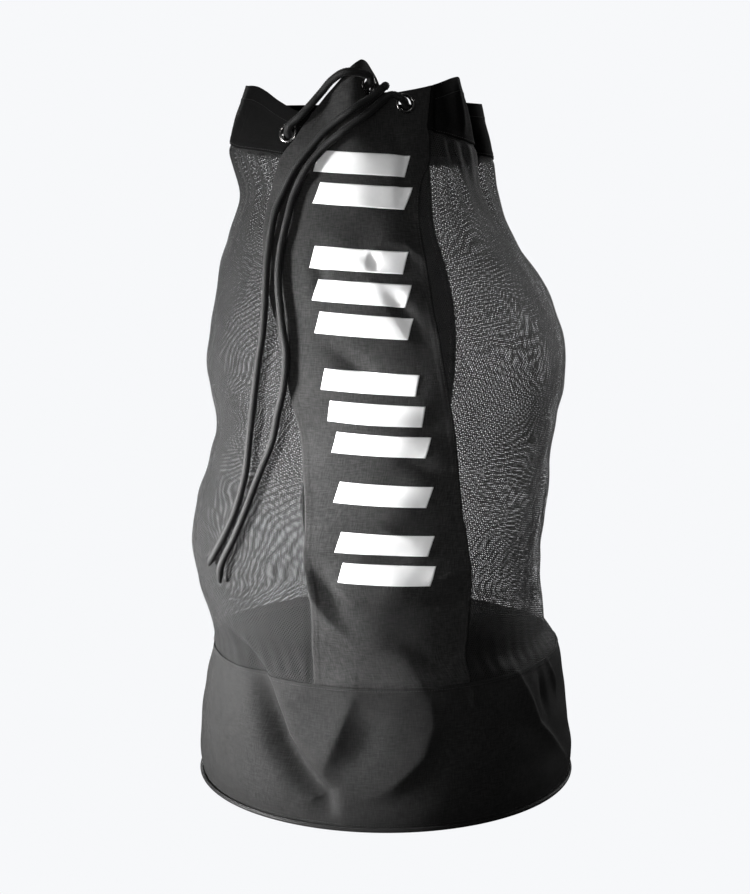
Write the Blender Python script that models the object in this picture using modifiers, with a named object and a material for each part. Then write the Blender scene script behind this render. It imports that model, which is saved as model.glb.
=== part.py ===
"""A tall drawstring ball bag: round base, solid base wall, mesh sides, solid front and back panels,
an eyeleted collar and one drawcord. Metres, +Z up, the front panel faces -Y, the bag stands on z = 0."""

import math

import bmesh
import bpy
import numpy as np
from mathutils import Matrix, Vector

# ---- driving dimensions ---------------------------------------------------------------------------
CLOTH = 0.002            # modelled thickness of every fabric wall
GAP = 0.0004             # clearance between pieces that touch
SEAM_GAP = 0.0008        # clearance between panels sewn edge to edge
HEM_GAP = 0.0016         # clearance above the base wall and below the collar, where the cloth leans
PIPING_RADIUS = 0.003
BASE_RADIUS = 0.2655     # flat round base panel
WALL_FOOT = 0.0068       # underside of the base wall, above the piping
WALL_SEAM = 0.190        # top of the base wall, where the tall panels begin
CORD_RADIUS = 0.005
HOLE_RADIUS = 0.0095     # clear hole of an eyelet
BARREL_RADIUS = 0.0102
FLANGE_RADIUS = 0.0135
CLOTH_HOLE = 0.0106      # hole punched in the fabric round an eyelet's barrel
PUNCH_DEPTH = 0.03
TRAVEL_OFFSET = 0.0105   # how far the drawcord runs in front of or behind the collar
CROSSING = 0.0055        # how quickly the cord dives through an eyelet
CROSSING_STEPS = (-0.016, -0.009, -0.0035, 0.0035, 0.009, 0.016)  # along the fabric, from the hole's centre
FACE_GAP = 0.0011        # from the fabric's outer face to the eyelet's flange
WASHER_GAP = 0.0014      # from the fabric's inner face to the washer
SHEET_METAL = 0.0008     # flange, lip and washer
BODY_ROWS = 18           # faces up a tall panel
COLLAR_ROWS = 8          # faces up the collar
SETTLE_ROUNDS = 10       # repeats that bring a point's bearing and height into step

# The filled bag's outline: height, left edge, right edge, half depth
STATIONS = (
    (0.000, -0.2640, 0.2650, 0.2660),
    (0.025, -0.2700, 0.2705, 0.2700),
    (0.070, -0.2690, 0.2665, 0.2670),
    (0.120, -0.2630, 0.2600, 0.2600),
    (0.190, -0.2510, 0.2480, 0.2500),
    (0.220, -0.2500, 0.2290, 0.2440),
    (0.260, -0.2620, 0.2240, 0.2430),
    (0.300, -0.2690, 0.2220, 0.2440),
    (0.355, -0.2750, 0.2235, 0.2480),
    (0.410, -0.2660, 0.2290, 0.2480),
    (0.460, -0.2500, 0.2320, 0.2450),
    (0.520, -0.2390, 0.2410, 0.2430),
    (0.590, -0.2515, 0.2530, 0.2460),
    (0.650, -0.2470, 0.2435, 0.2420),
    (0.710, -0.2350, 0.2180, 0.2280),
    (0.770, -0.2210, 0.1790, 0.2060),
    (0.830, -0.2050, 0.1540, 0.1820),
    (0.890, -0.2190, 0.1430, 0.1680),
    (0.930, -0.2110, 0.1350, 0.1600),
    (1.010, -0.1800, 0.1100, 0.1450),
)
# Where the load presses the sides out: bearing from the front in degrees, height, push, radius
BULGES = (
    (-58, 0.76, 0.010, 0.075), (-57, 0.57, 0.012, 0.080), (-60, 0.37, 0.012, 0.085),
    (-42, 0.23, 0.006, 0.070), (38, 0.77, 0.008, 0.070), (50, 0.59, 0.014, 0.085),
    (42, 0.38, 0.010, 0.080), (52, 0.24, 0.006, 0.070), (112, 0.40, 0.010, 0.080),
    (125, 0.66, 0.010, 0.080), (165, 0.52, 0.012, 0.085), (180, 0.29, 0.010, 0.080),
    (-118, 0.47, 0.012, 0.080), (-135, 0.70, 0.010, 0.080), (-142, 0.31, 0.010, 0.080),
)
MEAN_RADIUS = 0.245
LOADED = (0.25, 0.80)    # heights between which the load presses fully
LOAD_TOP = 0.88          # height at which the last of the load's push ends
# The gathered neck: pleats as bearing, width in degrees and depth as a share of the radius
NECK = (0.72, 0.88)      # heights between which the neck's folds grow in
PLEATS = ((78, 10, -0.24), (104, 14, 0.03))
WAVES = (7, 40, 0.012)   # waves round the neck, their phase in degrees, and their share of the radius
CALM_FRONT = 45          # the waves fade out towards the front within about this bearing
# The beak that the drawcord pulls out of the front panel's top: bearing, width, push, heights of its growth
BEAK = (-2.5, 8, 0.032, 0.85, 1.0)
# The wavy rim: bearing, height. The dip near 12 degrees is where the cord runs over it
RIM = (
    (-180, 0.954), (-125, 0.952), (-112, 0.960), (-95, 0.9745), (-88, 0.976), (-75, 0.9757), (-60, 0.9745),
    (-50, 0.9675), (-40, 0.955), (-28, 0.9415), (-20.5, 0.939), (-17.8, 0.9486), (-14.4, 0.960),
    (-10.6, 0.9713), (-6.8, 0.9848), (-3.9, 0.9958), (0, 1.0052), (1.5, 1.005), (3, 1.0018), (5, 0.9938),
    (7.75, 0.9825), (10.6, 0.9665), (13.4, 0.965), (16.2, 0.9645), (19, 0.9655), (22, 0.967), (36, 0.974),
    (56, 0.986), (68, 0.978), (80, 0.956), (120, 0.953), (180, 0.954),
)
# The collar's lower edge: bearing, height
COLLAR_EDGE = (
    (-180, 0.869), (-125, 0.885), (-89, 0.903), (-60, 0.8965), (-44.5, 0.893), (-30, 0.889), (0, 0.902),
    (30, 0.921), (40, 0.915), (55, 0.905), (80, 0.890), (120, 0.872), (180, 0.869),
)
# The front panel's side edges: height, left bearing, right bearing
FRONT_EDGES = (
    (0.19, -22.8, 27.0), (0.30, -18.0, 32.9), (0.36, -19.8, 31.6), (0.42, -21.5, 27.5),
    (0.48, -26.0, 24.0), (0.54, -29.0, 20.4), (0.60, -31.0, 17.3), (0.66, -35.1, 16.2),
    (0.71, -39.8, 16.5), (0.76, -43.5, 19.0), (0.82, -46.0, 21.0), (0.853, -41.5, 25.0),
    (0.870, -37.5, 29.2), (0.887, -33.0, 31.6), (0.904, -27.5, 32.0), (0.921, -24.2, 31.0),
    (0.939, -20.5, 32.5), (0.975, -20.5, 36.0),
)
# The back panel's side edges: height, left bearing, right bearing
BACK_EDGES = ((0.19, 156.0, 204.0), (0.70, 154.0, 206.0), (0.875, 147.0, 213.0))

# Eyelets in the order in which the cord meets them: name, bearing, height, heading of the cord in degrees
EYELETS = (
    ("front", 4.0, 0.974, 45.0),
    ("front_left", -31.0, 0.913, -45.0),
    ("left", -112.5, 0.934, 0.0),
    ("back_left", -135.5, 0.927, 0.0),
    ("back_mid_left", -160.0, 0.928, 0.0),
    ("back_mid_right", 171.0, 0.928, 0.0),
    ("back_right", 141.5, 0.928, 0.0),
    ("right", 113.0, 0.928, 0.0),
    ("front_right", 21.5, 0.951, 25.0),
)
ON_FRONT_PANEL = ("front", "front_right")
# The cord between eyelets, as bearing, height and distance off the fabric (inside is negative)
SPANS = {
    "front": ((-3.6, 0.9885, 0.0115), (-8.0, 0.9790, 0.0120), (-14.0, 0.963, 0.0125),
              (-19.5, 0.947, 0.0130), (-24.0, 0.932, 0.0120)),
    "front_left": ((-48.0, 0.921, -0.0120), (-65.0, 0.931, -0.0120), (-82.0, 0.936, -0.0120),
                   (-97.0, 0.936, -0.0120)),
    "left": ((-124.0, 0.930, 0.0095),),
    "back_left": ((-147.8, 0.928, -0.0120),),
    "back_mid_left": ((-174.5, 0.928, 0.0095),),
    "back_mid_right": ((156.0, 0.928, -0.0120),),
    "back_right": ((127.0, 0.928, 0.0095),),
    "right": ((97.0, 0.929, -0.0125), (87.0, 0.930, -0.0130), (77.0, 0.932, -0.0120), (66.0, 0.936, -0.0120),
              (54.0, 0.941, -0.0120), (40.0, 0.946, -0.0120)),
}
# From the left tail over the rim to the inside, before the front eyelet
RIM_START = (
    (10.3, 0.9700, 0.0098), (11.6, 0.9722, 0.0052), (11.9, 0.9724, -0.0015), (11.4, 0.9690, -0.0085),
    (10.2, 0.9630, -0.0120),
)
# From the front right eyelet to the right tail, on the outside
RIM_END = ((15.5, 0.9590, 0.0105),)
# The tails' routes down the front: x, height, distance off the fabric
LEFT_TAIL = (
    (-0.0130, 0.9685, 0.0098), (-0.0245, 0.9590, 0.0085), (-0.0455, 0.9430, 0.0076),
    (-0.0700, 0.9205, 0.0076), (-0.0960, 0.8940, 0.0076), (-0.1185, 0.8645, 0.0076),
    (-0.1350, 0.8290, 0.0076), (-0.1450, 0.7985, 0.0076), (-0.1525, 0.7465, 0.0076),
    (-0.1550, 0.6940, 0.0076), (-0.1580, 0.6545, 0.0076), (-0.1645, 0.6155, 0.0076),
    (-0.1720, 0.5620, 0.0076), (-0.1775, 0.5160, 0.0076), (-0.1835, 0.4640, 0.0080),
    (-0.1965, 0.4175, 0.0080), (-0.2130, 0.3810, 0.0080), (-0.2355, 0.3385, 0.0080),
)
RIGHT_TAIL = (
    (-0.0005, 0.9590, 0.0100), (-0.0100, 0.9535, 0.0088), (-0.0295, 0.9388, 0.0083),
    (-0.0530, 0.9168, 0.0081), (-0.0790, 0.8940, 0.0076), (-0.1020, 0.8670, 0.0076),
    (-0.1170, 0.8350, 0.0076), (-0.1250, 0.8055, 0.0076), (-0.1350, 0.7600, 0.0076),
    (-0.1375, 0.7200, 0.0076), (-0.1325, 0.6690, 0.0076), (-0.1275, 0.6310, 0.0076),
    (-0.1310, 0.5905, 0.0076), (-0.1395, 0.5530, 0.0076), (-0.1475, 0.5130, 0.0076),
    (-0.1665, 0.4625, 0.0080), (-0.1825, 0.4200, 0.0080), (-0.1985, 0.3830, 0.0080),
    (-0.2170, 0.3435, 0.0080), (-0.2200, 0.3170, 0.0080),
)
CORD_POINT_SPACING = 0.018
TIP_SHARE = 0.45         # radius of each tail's melted tip, as a share of the cord's


# ---- the outline ----------------------------------------------------------------------------------
def smooth(low, high, value):
    """0 below low, 1 above high, and a smooth step between."""
    share = min(max((value - low) / (high - low), 0.0), 1.0)
    return share * share * (3.0 - 2.0 * share)


def turn(degrees):
    """The same bearing between -180 and 180 degrees."""
    return (degrees + 180.0) % 360.0 - 180.0


def along(points, at, column=1):
    """Smooth curve through rows of points, read at a value of their first column."""
    last = len(points) - 1
    at = min(max(at, points[0][0]), points[last][0])
    i = 0
    while i < last - 1 and at > points[i + 1][0]:
        i += 1

    def slope(j):
        before, after = points[max(j - 1, 0)], points[min(j + 1, last)]
        return (after[column] - before[column]) / (after[0] - before[0])

    low, high = points[i], points[i + 1]
    step = high[0] - low[0]
    s = (at - low[0]) / step
    return (
        (2 * s**3 - 3 * s**2 + 1) * low[column]
        + (3 * s**2 - 2 * s**3) * high[column]
        + (s**3 - 2 * s**2 + s) * step * slope(i)
        + (s**3 - s**2) * step * slope(i + 1)
    )


def hump(bearing, centre, width):
    """1 at the centre bearing, falling off smoothly to both sides."""
    return math.exp(-((turn(bearing - centre) / width) ** 2))


def folds(bearing, height):
    """How the gathered neck departs from an ellipse: one deep pleat at the right, and soft waves."""
    pleats = sum(depth * hump(bearing, centre, width) for centre, width, depth in PLEATS)
    count, phase, share = WAVES
    waves = share * math.cos(math.radians(count * bearing + phase)) * (1 - hump(bearing, 0, CALM_FRONT))
    return 1 + smooth(*NECK, height) * (pleats + waves)


def pushed_out(bearing, height):
    """Bulges of the load, and the beak at the front panel's top."""
    live = smooth(WALL_SEAM, LOADED[0], height) * (1 - smooth(LOADED[1], LOAD_TOP, height))
    total = 0.0
    for centre, level, push, radius in BULGES:
        arc = math.radians(turn(bearing - centre)) * MEAN_RADIUS
        total += push * live * math.exp(-(arc**2 + (height - level) ** 2) / radius**2)
    centre, width, push, low, high = BEAK
    return total + push * smooth(low, high, height) * hump(bearing, centre, width)


def skin(bearing, height):
    """Point on the bag's outer surface."""
    left, right, half = (along(STATIONS, height, column) for column in (1, 2, 3))
    s, c = math.sin(math.radians(bearing)), math.cos(math.radians(bearing))
    shape = folds(bearing, height)
    push = pushed_out(bearing, height)
    return Vector((
        (left + right) / 2 + (right - left) / 2 * shape * s + push * s,
        -half * shape * c - push * c,
        height,
    ))


def frame_at(bearing, height, aside=1.5, above=0.004):
    """Tangent towards +bearing, tangent upwards, and outward normal of the surface."""
    east = (skin(bearing + aside, height) - skin(bearing - aside, height)).normalized()
    rise = skin(bearing, height + above) - skin(bearing, height - above)
    normal = east.cross(rise).normalized()
    return east, normal.cross(east).normalized(), normal


def off_skin(bearing, height, out):
    """Point at a true distance off the surface."""
    return skin(bearing, height) + frame_at(bearing, height)[2] * out


def bearing_of(x, height, low=-89.0, high=70.0, halvings=40):
    """Bearing on the front half at which the surface has this x, found by halving."""
    for _ in range(halvings):
        middle = (low + high) / 2
        if skin(middle, height).x < x:
            low = middle
        else:
            high = middle
    return (low + high) / 2


def edge_inset(height):
    """Half a seam gap as a bearing."""
    across = (along(STATIONS, height, 2) - along(STATIONS, height, 1)) / 2
    return math.degrees(SEAM_GAP / 2 / across)


def rim(bearing):
    return along(RIM, turn(bearing))


def collar_edge(bearing):
    return along(COLLAR_EDGE, turn(bearing))


def wall_seam(_bearing):
    return WALL_SEAM


def below_collar(bearing):
    return collar_edge(bearing) - HEM_GAP


def sewn_edge(table, column, way):
    """A panel's side edge as a function of height, half a seam gap inside (way 1) or outside (way -1)."""
    return lambda height: along(table, height, column) + way * edge_inset(height)


def settle(u, v, left_edge, right_edge, bottom, top):
    """Point of a panel whose side edges are known by height and whose ends are known by bearing."""
    height = bottom(0.0) + v * (top(0.0) - bottom(0.0))
    for _ in range(SETTLE_ROUNDS):
        left, right = left_edge(height), right_edge(height)
        bearing = left + u * (right - left)
        height = bottom(bearing) + v * (top(bearing) - bottom(bearing))
    return skin(bearing, height)


# ---- building tools -------------------------------------------------------------------------------
def new_collection(name):
    collection = bpy.data.collections.new(name)
    bpy.context.scene.collection.children.link(collection)
    return collection


def material(name, colour, roughness, metallic=0.0):
    made = bpy.data.materials.new(name)
    made.use_nodes = True
    shader = made.node_tree.nodes["Principled BSDF"]
    shader.inputs["Base Color"].default_value = (*colour, 1.0)
    shader.inputs["Roughness"].default_value = roughness
    shader.inputs["Metallic"].default_value = metallic
    made.diffuse_color = (*colour, 1.0)
    return made


def add_mesh(name, form, collection, finish):
    """Turns a bmesh into a named, smooth object."""
    mesh = bpy.data.meshes.new(name)
    form.to_mesh(mesh)
    form.free()
    mesh.shade_smooth()
    made = bpy.data.objects.new(name, mesh)
    made.data.materials.append(finish)
    collection.objects.link(made)
    return made


def thicken(sheet):
    solid = sheet.modifiers.new("cloth", "SOLIDIFY")
    solid.thickness = CLOTH
    solid.offset = -1.0
    solid.use_even_offset = False


def panel(name, columns, rows, place, collection, finish, ring=False):
    """A fabric wall: a grid whose points are put on the bag by place(u, v), then thickened inwards."""
    form = bmesh.new()
    bmesh.ops.create_grid(form, x_segments=columns, y_segments=rows, size=0.5)
    for point in form.verts:
        point.co = place(point.co.x + 0.5, point.co.y + 0.5)
    if ring:
        bmesh.ops.remove_doubles(form, verts=form.verts, dist=0.00001)
    sheet = add_mesh(name, form, collection, finish)
    thicken(sheet)
    return sheet


def turned(name, profile, segments, collection, finish):
    """A turned ring from a closed profile of (radius, height) points, outer side running downwards."""
    form = bmesh.new()
    points = [form.verts.new((radius, 0.0, height)) for radius, height in profile]
    for i, point in enumerate(points):
        form.edges.new((point, points[(i + 1) % len(points)]))
    ring = add_mesh(name, form, collection, finish)
    screw = ring.modifiers.new("turn", "SCREW")
    screw.steps = segments
    screw.render_steps = segments
    screw.use_merge_vertices = True
    screw.merge_threshold = 0.00001
    return ring


def stand_on_skin(thing, bearing, height):
    """Puts a turned piece's axis along the surface's outward normal."""
    east, up, normal = frame_at(bearing, height)
    turned_to = Matrix((east, up, normal)).transposed().to_4x4()
    thing.matrix_world = Matrix.Translation(skin(bearing, height)) @ turned_to


def smooth_line(route, spacing):
    """Points on a smooth curve through the route's points, each stretch divided to the spacing.
    Gives the points, and for each of the route's own points its place in the list."""
    ends = [route[0] * 2 - route[1]] + list(route) + [route[-1] * 2 - route[-2]]
    points, own = [], []
    for a, b, c, d in zip(ends, ends[1:], ends[2:], ends[3:]):
        own.append(len(points))
        pieces = max(round((c - b).length / spacing), 1)
        for k in range(pieces):
            t = k / pieces
            points.append(
                0.5 * ((2 * b) + (c - a) * t + (2 * a - 5 * b + 4 * c - d) * t**2
                       + (3 * b - a - 3 * c + d) * t**3)
            )
    own.append(len(points))
    points.append(route[-1].copy())
    return points, own


def divide(points, index):
    """Cuts a line in the middle of one straight stretch, leaving a small gap."""
    middle = (points[index] + points[index + 1]) / 2
    half_gap = (points[index + 1] - points[index]).normalized() * GAP / 2
    return points[: index + 1] + [middle - half_gap], [middle + half_gap] + points[index + 1 :]


def rope(name, points, collection, finish, taper=False):
    """A round cord along points, with filled ends, and a pointed far end where it is melted shut."""
    data = bpy.data.curves.new(name, "CURVE")
    data.dimensions = "3D"
    data.bevel_depth = CORD_RADIUS
    data.bevel_resolution = 2
    data.use_fill_caps = True
    line = data.splines.new("POLY")
    line.points.add(len(points) - 1)
    for point, place in zip(line.points, points):
        point.co = (*place, 1.0)
    if taper:
        line.points[-1].radius = TIP_SHARE
    data.materials.append(finish)
    made = bpy.data.objects.new(name, data)
    collection.objects.link(made)
    return made


# ---- the bag --------------------------------------------------------------------------------------
def build_base(bag, fabric, trim):
    """Round bottom panel, its piping and the solid wall above it."""
    form = bmesh.new()
    bmesh.ops.create_cone(
        form, cap_ends=True, segments=64, radius1=BASE_RADIUS, radius2=BASE_RADIUS, depth=CLOTH
    )
    base = add_mesh("base_panel", form, bag, fabric)
    base.location.z = CLOTH / 2
    base.data.set_sharp_from_angle(angle=math.radians(40))

    ring_radius = BASE_RADIUS + GAP + PIPING_RADIUS
    circle = [
        (ring_radius + PIPING_RADIUS * math.cos(a), PIPING_RADIUS * math.sin(a))
        for a in np.linspace(0.0, -2 * math.pi, 8, endpoint=False)
    ]
    piping = turned("base_piping", circle, 56, bag, trim)
    piping.location.z = PIPING_RADIUS + GAP

    def on_wall(u, v):
        return skin(360.0 * u, WALL_FOOT + v * (WALL_SEAM - HEM_GAP - WALL_FOOT))

    panel("base_wall", 60, 5, on_wall, bag, fabric, ring=True)


def build_panels(bag, fabric, mesh_fabric):
    """The tall walls between the base wall and the collar; the front one runs on up to the rim."""
    front_left, front_right = sewn_edge(FRONT_EDGES, 1, 1), sewn_edge(FRONT_EDGES, 2, -1)

    def wall(name, columns, left_edge, right_edge, finish):
        def at(u, v):
            return settle(u, v, left_edge, right_edge, wall_seam, below_collar)

        panel(name, columns, BODY_ROWS, at, bag, finish)

    def front_at(u, v):
        step = v * (BODY_ROWS + COLLAR_ROWS)
        if step <= BODY_ROWS:
            return settle(u, step / BODY_ROWS, front_left, front_right, wall_seam, collar_edge)
        return settle(u, (step - BODY_ROWS) / COLLAR_ROWS, front_left, front_right, collar_edge, rim)

    back_right = sewn_edge(BACK_EDGES, 2, 1)
    wall("back_panel", 7, sewn_edge(BACK_EDGES, 1, 1), sewn_edge(BACK_EDGES, 2, -1), fabric)
    wall("mesh_left", 16, lambda h: back_right(h) - 360.0, sewn_edge(FRONT_EDGES, 1, -1), mesh_fabric)
    wall("mesh_right", 18, sewn_edge(FRONT_EDGES, 2, 1), sewn_edge(BACK_EDGES, 1, -1), mesh_fabric)
    return panel("front_panel", 20, BODY_ROWS + COLLAR_ROWS, front_at, bag, fabric)


def build_collar(bag, fabric):
    """Two halves of the collar band, sewn to the front panel's top and to each other at the back."""

    def left_at(u, v):
        start = lambda h: -180.0 + edge_inset(h)
        return settle(u, v, start, sewn_edge(FRONT_EDGES, 1, -1), collar_edge, rim)

    def right_at(u, v):
        end = lambda h: 180.0 - edge_inset(h)
        return settle(u, v, sewn_edge(FRONT_EDGES, 2, 1), end, collar_edge, rim)

    left = panel("collar_left", 26, COLLAR_ROWS, left_at, bag, fabric)
    right = panel("collar_right", 40, COLLAR_ROWS, right_at, bag, fabric)
    return left, right


def punch(sheet, name, bearing, height, cutters, finish):
    """Cuts an eyelet's hole through a sheet."""
    form = bmesh.new()
    bmesh.ops.create_cone(
        form, cap_ends=True, segments=14, radius1=CLOTH_HOLE, radius2=CLOTH_HOLE, depth=PUNCH_DEPTH
    )
    cutter = add_mesh(name + "_cutter", form, cutters, finish)
    cutter.hide_render = True
    cutter.display_type = "WIRE"
    stand_on_skin(cutter, bearing, height)
    cut = sheet.modifiers.new(name, "BOOLEAN")
    cut.operation = "DIFFERENCE"
    cut.solver = "EXACT"
    cut.object = cutter


def build_eyelets(bag, cutters, front, left, right, metal):
    """Two-part eyelets: a flange with its barrel rolled over a washer at the back of the cloth."""
    face, back, lip = FACE_GAP, -CLOTH - WASHER_GAP, SHEET_METAL
    rolled = back - lip - GAP
    flange = (
        (FLANGE_RADIUS, face), (BARREL_RADIUS, face), (BARREL_RADIUS, rolled),
        (BARREL_RADIUS + 2 * lip, rolled), (BARREL_RADIUS + 1.5 * lip, rolled - lip),
        (HOLE_RADIUS, rolled), (HOLE_RADIUS, face + lip / 4),
        (HOLE_RADIUS + lip, face + lip), (FLANGE_RADIUS - 1.5 * lip, face + lip),
    )
    washer = (
        (FLANGE_RADIUS - 2 * lip, back), (FLANGE_RADIUS - 2 * lip, back - lip),
        (BARREL_RADIUS + GAP, back - lip), (BARREL_RADIUS + GAP, back),
    )
    for name, bearing, height, _ in EYELETS:
        sheet = front if name in ON_FRONT_PANEL else left if bearing < 0 else right
        punch(sheet, name, bearing, height, cutters, metal)
        stand_on_skin(turned("eyelet_" + name, flange, 14, bag, metal), bearing, height)
        stand_on_skin(turned("washer_" + name, washer, 14, bag, metal), bearing, height)


def through_eyelet(bearing, height, heading, outwards):
    """Points of the cord as it dives through an eyelet, travelling towards smaller bearings."""
    east, up, normal = frame_at(bearing, height)
    tilt = math.radians(heading)
    way = -east * math.cos(tilt) + up * math.sin(tilt)
    centre = skin(bearing, height) - normal * CLOTH / 2
    side = 1.0 if outwards else -1.0
    return [
        centre + way * s + normal * side * TRAVEL_OFFSET * math.tanh(s / CROSSING)
        for s in CROSSING_STEPS
    ]


def build_cord(bag, finish):
    """One drawcord, in three stretches: laced round the rim, and the two tails down the front."""

    def tail(rows):
        return [off_skin(bearing_of(x, height), height, out) for x, height, out in rows]

    left = tail(LEFT_TAIL)[::-1]
    laced = [off_skin(*step) for step in RIM_START]
    outwards = True
    for name, bearing, height, heading in EYELETS:
        laced += through_eyelet(bearing, height, heading, outwards)
        laced += [off_skin(*step) for step in SPANS.get(name, ())]
        outwards = not outwards
    laced += [off_skin(*step) for step in RIM_END]
    points, own = smooth_line(left + laced + tail(RIGHT_TAIL), CORD_POINT_SPACING)
    last_laced = own[len(left) + len(laced) - 1]
    rest, right_tail = divide(points, last_laced)
    left_tail, rim = divide(rest, own[len(left) - 1])
    rope("drawcord_rim", rim, bag, finish)
    rope("drawcord_tail_left", left_tail[::-1], bag, finish, taper=True)
    rope("drawcord_tail_right", right_tail, bag, finish, taper=True)


def main():
    for old in list(bpy.data.objects):
        bpy.data.objects.remove(old)
    bag = new_collection("ball_bag")
    cutters = new_collection("cutters")
    fabric = material("black_fabric", (0.018, 0.018, 0.020), 0.75)
    mesh_fabric = material("black_mesh", (0.012, 0.012, 0.013), 0.80)
    trim = material("black_trim", (0.015, 0.015, 0.016), 0.60)
    cord = material("black_cord", (0.014, 0.014, 0.015), 0.70)
    metal = material("nickel", (0.62, 0.61, 0.59), 0.25, 1.0)
    build_base(bag, fabric, trim)
    front = build_panels(bag, fabric, mesh_fabric)
    left, right = build_collar(bag, fabric)
    build_eyelets(bag, cutters, front, left, right, metal)
    build_cord(bag, cord)


main()
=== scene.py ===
"""The looks of the mesh ball bag: fabric walls with their folds, seams and stitches, open net, plated
eyelets, a braided drawcord, plain studio light and the camera.
Metres, +Z up, the front panel faces -Y, the bag stands on z = 0."""

import math

import bmesh
import bpy
import numpy as np
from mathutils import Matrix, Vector


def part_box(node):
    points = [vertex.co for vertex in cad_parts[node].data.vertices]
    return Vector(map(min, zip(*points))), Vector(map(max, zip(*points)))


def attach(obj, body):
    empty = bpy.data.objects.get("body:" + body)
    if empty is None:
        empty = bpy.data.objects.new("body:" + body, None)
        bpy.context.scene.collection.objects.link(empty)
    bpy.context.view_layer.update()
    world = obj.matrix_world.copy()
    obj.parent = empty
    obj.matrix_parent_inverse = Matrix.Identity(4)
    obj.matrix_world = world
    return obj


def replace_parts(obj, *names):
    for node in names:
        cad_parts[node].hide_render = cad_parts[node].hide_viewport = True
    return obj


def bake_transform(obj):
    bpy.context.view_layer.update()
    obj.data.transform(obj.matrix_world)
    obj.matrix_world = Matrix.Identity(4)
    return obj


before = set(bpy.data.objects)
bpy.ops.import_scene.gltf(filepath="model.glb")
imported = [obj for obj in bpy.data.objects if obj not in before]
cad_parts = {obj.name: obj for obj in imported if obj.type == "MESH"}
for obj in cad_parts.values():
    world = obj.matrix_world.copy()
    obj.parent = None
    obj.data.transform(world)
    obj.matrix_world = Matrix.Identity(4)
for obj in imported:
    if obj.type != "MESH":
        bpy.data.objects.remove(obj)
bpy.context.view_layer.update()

# ---- the bag's surface, as the CAD model has it
CLOTH = 0.002  # the CAD walls' thickness
WALL_SEAM = 0.19  # top of the base wall
SETTLE_ROUNDS = 40  # bring a point's bearing and height into step
CORD_RADIUS = 0.005
CORD_POINT_SPACING = 0.018
TRAVEL_OFFSET = 0.0105  # from the collar to the laced drawcord
CROSSING = 0.0055  # how quickly the cord dives through an eyelet
CROSSING_STEPS = (-0.016, -0.009, -0.0035, 0.0035, 0.009, 0.016)  # along the fabric from the centre
# The filled bag's outline: height, left edge, right edge, half depth
STATIONS = (
    (0, -0.264, 0.265, 0.266), (0.025, -0.27, 0.2705, 0.27), (0.07, -0.269, 0.2665, 0.267),
    (0.12, -0.263, 0.26, 0.26), (0.19, -0.251, 0.248, 0.25), (0.22, -0.25, 0.229, 0.244),
    (0.26, -0.262, 0.224, 0.243), (0.3, -0.269, 0.222, 0.244), (0.355, -0.275, 0.2235, 0.248),
    (0.41, -0.266, 0.229, 0.248), (0.46, -0.25, 0.232, 0.245), (0.52, -0.239, 0.241, 0.243),
    (0.59, -0.2515, 0.253, 0.246), (0.65, -0.247, 0.2435, 0.242), (0.71, -0.235, 0.218, 0.228),
    (0.77, -0.221, 0.179, 0.206), (0.83, -0.205, 0.154, 0.182), (0.89, -0.219, 0.143, 0.168),
    (0.93, -0.211, 0.135, 0.16), (1.01, -0.18, 0.11, 0.145),
)
# Where the load presses the sides out: bearing from the front in degrees, height, push, radius
BULGES = (
    (-58, 0.76, 0.01, 0.075), (-57, 0.57, 0.012, 0.08), (-60, 0.37, 0.012, 0.085),
    (-42, 0.23, 0.006, 0.07), (38, 0.77, 0.008, 0.07), (50, 0.59, 0.014, 0.085), (42, 0.38, 0.01, 0.08),
    (52, 0.24, 0.006, 0.07), (112, 0.4, 0.01, 0.08), (125, 0.66, 0.01, 0.08), (165, 0.52, 0.012, 0.085),
    (180, 0.29, 0.01, 0.08), (-118, 0.47, 0.012, 0.08), (-135, 0.7, 0.01, 0.08),
    (-142, 0.31, 0.01, 0.08),
)
MEAN_RADIUS = 0.245
LOADED = (0.25, 0.8)  # heights where the load presses fully
LOAD_TOP = 0.88  # where the last of its push ends
NECK = (0.72, 0.88)  # heights between which the neck's folds grow in
PLEATS = ((78, 10, -0.24), (104, 14, 0.03))
WAVES = (7, 40, 0.012)  # round the neck, their phase in degrees, their share of the radius
CALM_FRONT = 45  # the waves fade out within this bearing
BEAK = (-2.5, 8, 0.032, 0.85, 1)
# The wavy rim, and the collar's lower edge: bearing, height
RIM = (
    (-180, 0.954), (-125, 0.952), (-112, 0.96), (-95, 0.9745), (-88, 0.976), (-75, 0.9757),
    (-60, 0.9745), (-50, 0.9675), (-40, 0.955), (-28, 0.9415), (-20.5, 0.939), (-17.8, 0.9486),
    (-14.4, 0.96), (-10.6, 0.9713), (-6.8, 0.9848), (-3.9, 0.9958), (0, 1.0052), (1.5, 1.005),
    (3, 1.0018), (5, 0.9938), (7.75, 0.9825), (10.6, 0.9665), (13.4, 0.965), (16.2, 0.9645),
    (19, 0.9655), (22, 0.967), (36, 0.974), (56, 0.986), (68, 0.978), (80, 0.956), (120, 0.953),
    (180, 0.954),
)
COLLAR_EDGE = (
    (-180, 0.869), (-125, 0.885), (-89, 0.903), (-60, 0.8965), (-44.5, 0.893), (-30, 0.889), (0, 0.902),
    (30, 0.921), (40, 0.915), (55, 0.905), (80, 0.89), (120, 0.872), (180, 0.869),
)
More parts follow.
